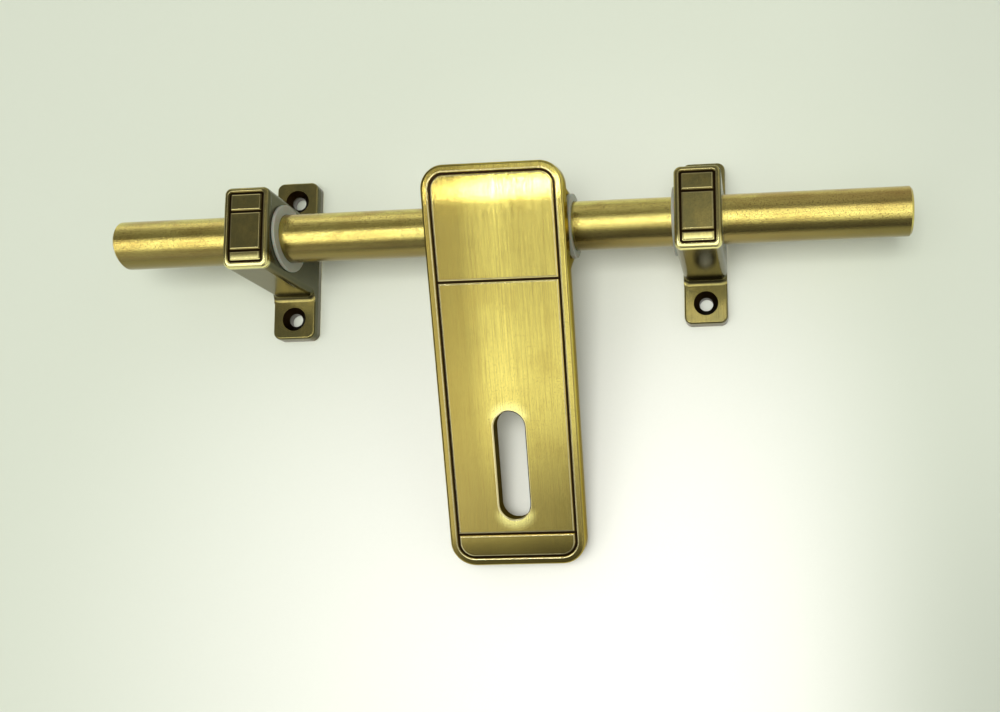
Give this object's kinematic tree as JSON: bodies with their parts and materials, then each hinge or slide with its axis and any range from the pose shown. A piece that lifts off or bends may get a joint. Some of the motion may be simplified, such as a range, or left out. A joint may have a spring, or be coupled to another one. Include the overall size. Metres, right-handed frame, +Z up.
{
  "type": "barrel bolt",
  "caption": "Surface-mounted sliding door bolt: a round rod in two screw-on brackets, with a long drop handle plate that has a padlock slot.",
  "frame": {"origin": "on the door's face, at the rod's height, midway between the two brackets (the middle of the four screw holes)", "axes": "+X along the rod towards its longer free end, +Z up, -Y out of the door towards the user; the door's face is the plane Y = 0"},
  "size_m": [0.3, 0.0535, 0.158],
  "materials": {
    "rod_brass": "lacquered antique brass plating, drawn and polished round bar with fine marks along it",
    "handle_brass": "antique brass plating, brushed lengthways, lacquered, engraved lines left dark",
    "bracket_brass": "dark antique brass plating, polished and lacquered, worn bright on the lower edges",
    "bush_nylon": "natural translucent nylon, moulded",
    "screw_steel": "blackened steel"
  },
  "bodies": {
    "mounting": {"bracket_left": "bracket_brass", "bracket_right": "bracket_brass", "bush_left": "bush_nylon", "bush_right": "bush_nylon"},
    "buffer_rings": {"ring_left": "bush_nylon", "ring_right": "bush_nylon"},
    "bolt": {"bolt_rod": "rod_brass", "handle": "handle_brass", "handle_set_screws": "screw_steel"}
  },
  "joints": [
    {"name": "bolt_slide", "type": "slide", "parent": "mounting", "child": "buffer_rings", "axis": [1, 0, 0], "range_m": [-0.0583, 0.0367]},
    {"name": "handle_turn", "type": "hinge", "parent": "buffer_rings", "child": "bolt", "pos_m": [0.0108, -0.029, 0], "axis": [-1, 0, 0], "range_deg": [-2, 120]}
  ]
}
